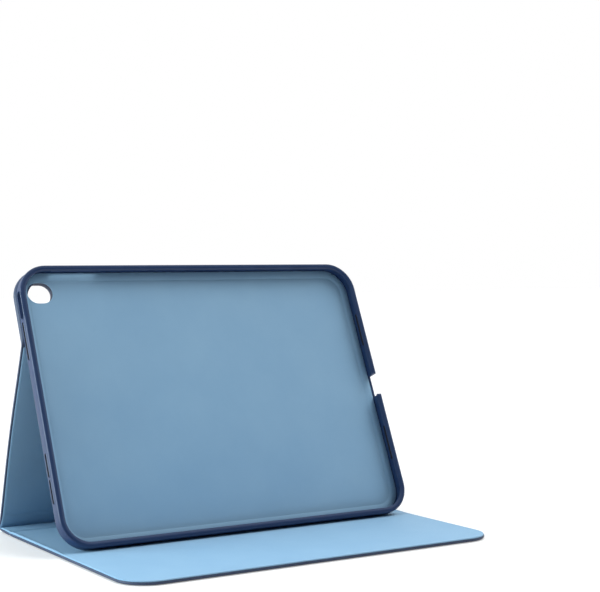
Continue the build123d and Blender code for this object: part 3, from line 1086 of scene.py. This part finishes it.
def dress_cad_nodes():
    """Materials for the CAD nodes that stay: the tray's shell and everything hidden in the laminate."""
    looks = {
        "tray_shell": PLASTIC,
        "tray_adhesive": TAPE,
        "flap_anchor": NAVY,
        "tray_foot_plates": STEEL,
        "cover_latch_magnets": MAGNET,
        "cover_stand_magnets": MAGNET,
        "wake_magnet": MAGNET,
        "tongue_magnets": MAGNET,
        "back_board": BOARD,
        "tongue_board": BOARD,
    }
    for node, material in looks.items():
        mesh = frame["nodes"][node].data
        mesh.materials.clear()
        mesh.materials.append(material)


# ---------------------------------------------------------------- stage

# Strengths of the surroundings by direction
REAR_LIGHT = 0.85
TOP_LIGHT = 0.75
RIGHT_LIGHT = 0.9
FRONT_LIGHT = 0.02

# Lamps: a wide sun from the right and above, and a softbox on the left, in watts
KEY_LIGHT = 1.6
KEY_SPREAD = math.radians(34)
KEY_PLACE = Vector((0.6, -0.2, 1.0))
SOFTBOX_LIGHT = 14.0
SOFTBOX_SIZE = (0.9, 0.6)
SOFTBOX_PLACE = Vector((-1.15, 0.28, 0.3))
SOFTBOX_TARGET = Vector((-0.1, 0.05, 0.08))

FLOOR_HALF = 6.0
FLOOR_DROP = 0.2 * MM
FLOOR_GLOW = 0.3


def build_floor():
    """Pale floor that looks a little brighter to the camera than it is to the light."""
    bm = bmesh.new()
    corners = ((-1, -1), (1, -1), (1, 1), (-1, 1))
    bm.faces.new([bm.verts.new((x * FLOOR_HALF, y * FLOOR_HALF, -FLOOR_DROP)) for x, y in corners])
    n = Nodes("floor_paint")
    mottle = n.noise(3, 3)
    seen = n.add("ShaderNodeLightPath").outputs["Is Camera Ray"]
    floor_material = n.set(
        Base_Color=n.mix(mottle, (0.7, 0.7, 0.705), (0.74, 0.74, 0.745)),
        Roughness=0.75,
        Emission_Color=(1.0, 1.0, 1.0, 1.0),
        Emission_Strength=n.math("MULTIPLY", seen, FLOOR_GLOW),
    )
    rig.stage(make_object("floor", bm, floor_material))


def build_surroundings():
    """White backdrop to the eye, and light from above, behind and the right, with little in front."""
    world = bpy.data.worlds.new("studio")
    bpy.context.scene.world = world
    world.use_nodes = True
    tree = world.node_tree
    tree.nodes.clear()

    def node(kind, **inputs):
        made = tree.nodes.new(kind)
        for key, value in inputs.items():
            target = made.inputs[int(key[1:])]
            if hasattr(value, "links"):
                tree.links.new(value, target)
            else:
                target.default_value = value
        return made

    def ramp(source, low, high, to_low, to_high):
        made = node("ShaderNodeMapRange", _0=source, _1=low, _2=high, _3=to_low, _4=to_high)
        made.interpolation_type = "SMOOTHSTEP"
        return made.outputs[0]

    def join(operation, a, b):
        made = node("ShaderNodeMath", _0=a, _1=b)
        made.operation = operation
        return made.outputs[0]

    where = node("ShaderNodeTexCoord").outputs["Generated"]
    split = node("ShaderNodeSeparateXYZ", _0=where).outputs
    rear = ramp(split["Y"], -0.1, 0.6, 0.0, REAR_LIGHT)
    above = ramp(split["Z"], 0.35, 1.0, FRONT_LIGHT, TOP_LIGHT)
    right = ramp(split["X"], 0.6, 0.95, 0.0, RIGHT_LIGHT)
    total = join("ADD", join("ADD", rear, above), right)
    both = node("ShaderNodeBackground", _0=(0.95, 0.98, 1.0, 1.0), _1=total)
    plain = node("ShaderNodeBackground", _0=(1.0, 1.0, 1.0, 1.0), _1=1.0)
    seen = node("ShaderNodeLightPath").outputs["Is Camera Ray"]
    mix = node("ShaderNodeMixShader", _0=seen, _1=both.outputs[0], _2=plain.outputs[0])
    out = node("ShaderNodeOutputWorld")
    tree.links.new(mix.outputs[0], out.inputs[0])


def build_lamps():
    """Diffuse key light, and a cool softbox for the side faces."""
    key = bpy.data.lights.new("key", "SUN")
    key.energy = KEY_LIGHT
    key.angle = KEY_SPREAD
    key.color = (1.0, 0.985, 0.96)
    lamp = add_lamp(key, KEY_PLACE, Vector())
    lamp.visible_glossy = False
    box = bpy.data.lights.new("softbox", "AREA")
    box.shape = "RECTANGLE"
    box.size, box.size_y = SOFTBOX_SIZE
    box.energy = SOFTBOX_LIGHT
    box.color = (0.8, 0.96, 1.0)
    add_lamp(box, SOFTBOX_PLACE, SOFTBOX_TARGET)


def add_lamp(data, place, target):
    """Puts a light somewhere, and points it at a target."""
    lamp = bpy.data.objects.new(data.name, data)
    lamp.location = place
    lamp.rotation_mode = "QUATERNION"
    lamp.rotation_quaternion = (target - place).to_track_quat("-Z", "Y")
    bpy.context.scene.collection.objects.link(lamp)
    return lamp


CAMERA_AZIMUTH = math.radians(-32.378)
CAMERA_ELEVATION = math.radians(1.32)
CAMERA_ROLL = math.radians(-0.227)
CAMERA_PLACE = Vector((-0.45562, -0.77646, 0.17335))
CAMERA_LENS = 85.731


def build_camera():
    """Long lens level with the tray's upper edge, in front and to the left."""
    data = bpy.data.cameras.new("camera")
    data.lens = CAMERA_LENS
    data.sensor_width = 36.0
    data.clip_start, data.clip_end = 0.01, 50
    camera = bpy.data.objects.new("camera", data)
    bpy.context.scene.collection.objects.link(camera)
    a, e = CAMERA_AZIMUTH, CAMERA_ELEVATION
    back = Vector((math.sin(a) * math.cos(e), -math.cos(a) * math.cos(e), math.sin(e)))
    right = Vector((0, 0, 1)).cross(back).normalized()
    up = back.cross(right)
    c, s = math.cos(CAMERA_ROLL), math.sin(CAMERA_ROLL)
    axes = (right * c + up * s, up * c - right * s, back)
    turn = Matrix(axes).transposed()
    camera.rotation_mode = "QUATERNION"
    camera.rotation_quaternion = turn.to_quaternion()
    camera.location = CAMERA_PLACE
    bpy.context.scene.camera = camera


build_cover()
build_rim()
build_tray_lining()
build_camera_ring()
build_flap()
dress_cad_nodes()
build_floor()
build_surroundings()
build_lamps()
build_camera()
bpy.context.scene.view_settings.view_transform = "Standard"

visual_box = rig.bounds()
with open("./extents.json", "w") as f:
    json.dump({"cad": [list(c) for c in cad_box], "visual": [list(c) for c in visual_box]}, f)
